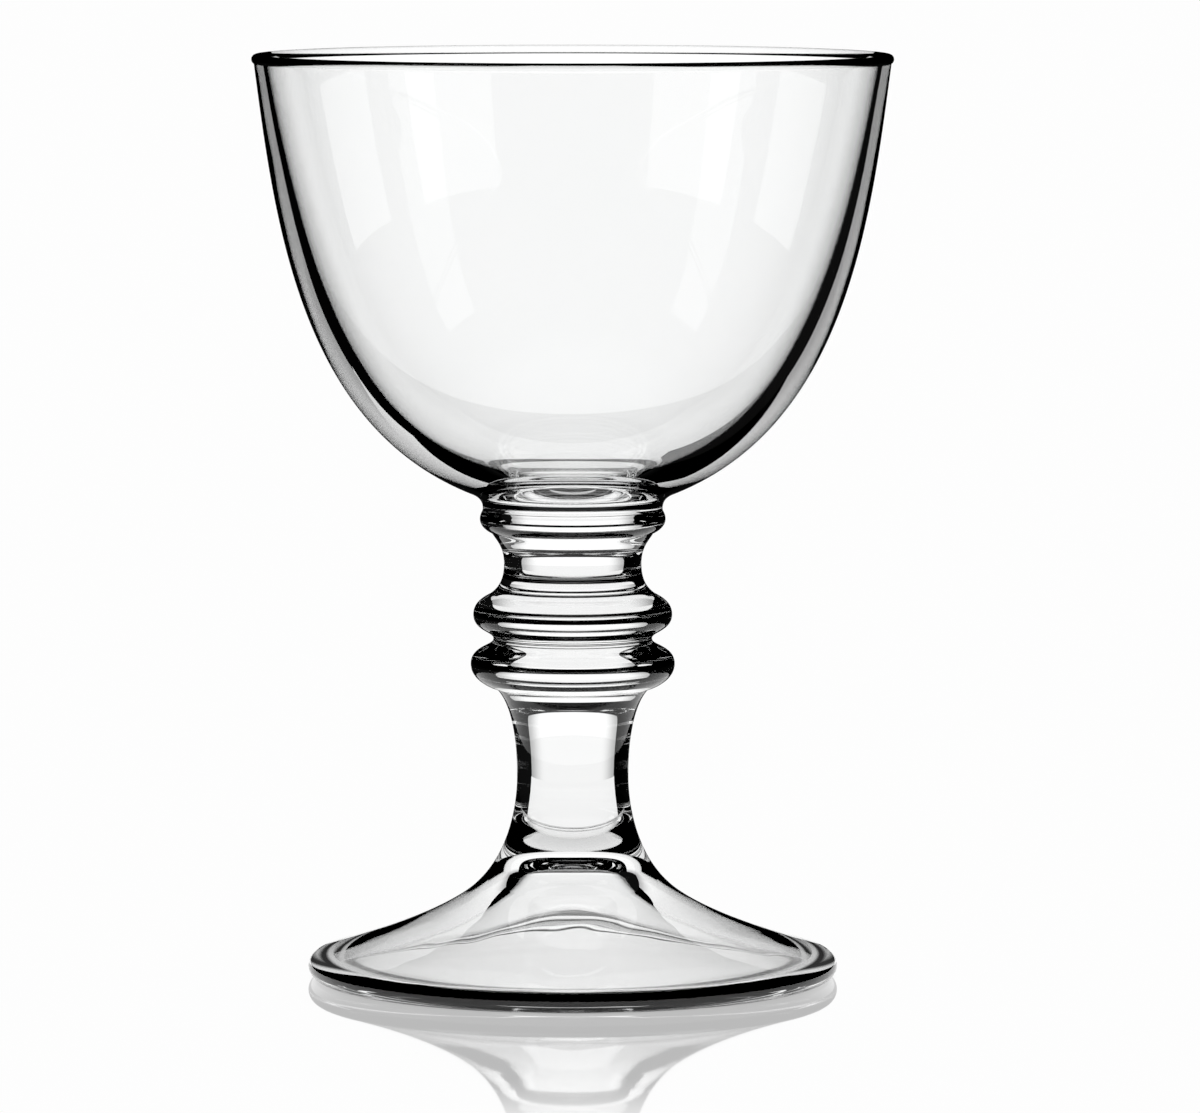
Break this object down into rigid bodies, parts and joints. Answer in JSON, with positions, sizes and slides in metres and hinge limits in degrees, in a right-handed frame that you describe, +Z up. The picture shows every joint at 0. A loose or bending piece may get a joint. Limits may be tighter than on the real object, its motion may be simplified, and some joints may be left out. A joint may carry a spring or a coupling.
{
  "type": "irish coffee glass",
  "caption": "Clear stemmed goblet with a deep round bowl and beaded rim, a collar, neck, ring knops and waisted shank, on a broad hollow trumpet foot, for hot coffee with cream.",
  "frame": {"origin": "on the axis, in the plane that the foot rests on", "axes": "+Z up along the axis of the glass, towards the rim; X and Y are equal, because the glass is round"},
  "size_m": [0.0946, 0.0946, 0.137],
  "materials": {
    "foot_glass": "clear pressed glass, polished",
    "stem_glass": "clear solid glass, fire polished",
    "bowl_glass": "clear blown glass, fire polished"
  },
  "bodies": {
    "root": {"foot": "foot_glass", "shank": "stem_glass", "lower_knop": "stem_glass", "upper_knop": "stem_glass", "neck": "stem_glass", "collar": "stem_glass", "bowl": "bowl_glass"}
  },
  "joints": []
}
